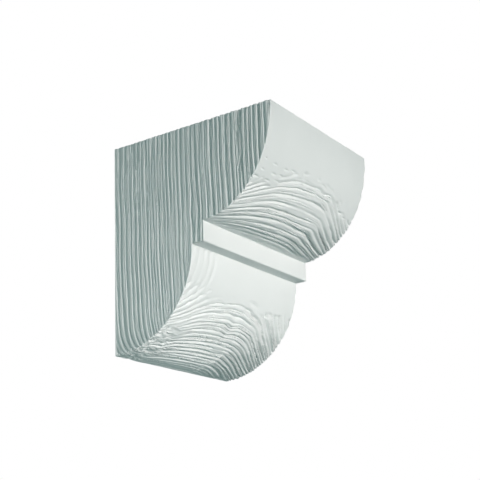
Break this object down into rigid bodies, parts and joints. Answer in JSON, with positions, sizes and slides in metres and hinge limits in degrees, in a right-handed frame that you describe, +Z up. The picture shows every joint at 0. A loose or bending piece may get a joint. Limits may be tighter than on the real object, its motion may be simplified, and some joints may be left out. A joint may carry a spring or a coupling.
{
  "type": "polyurethane corbel",
  "caption": "Wall corbel cast in rigid foam: an upper and a lower outward curve with a flat band between them, under a flat top, with raised wood grain on its sides and curves.",
  "frame": {"origin": "middle of the flat back, which lies against the wall", "axes": "+X to the right across the width, -Y out from the wall towards the front, +Z up"},
  "size_m": [0.1778, 0.1778, 0.2032],
  "materials": {
    "primed_foam": "matt off-white primer over rigid foam, ready for paint"
  },
  "bodies": {
    "root": {"corbel_body": "primed_foam"}
  },
  "joints": []
}
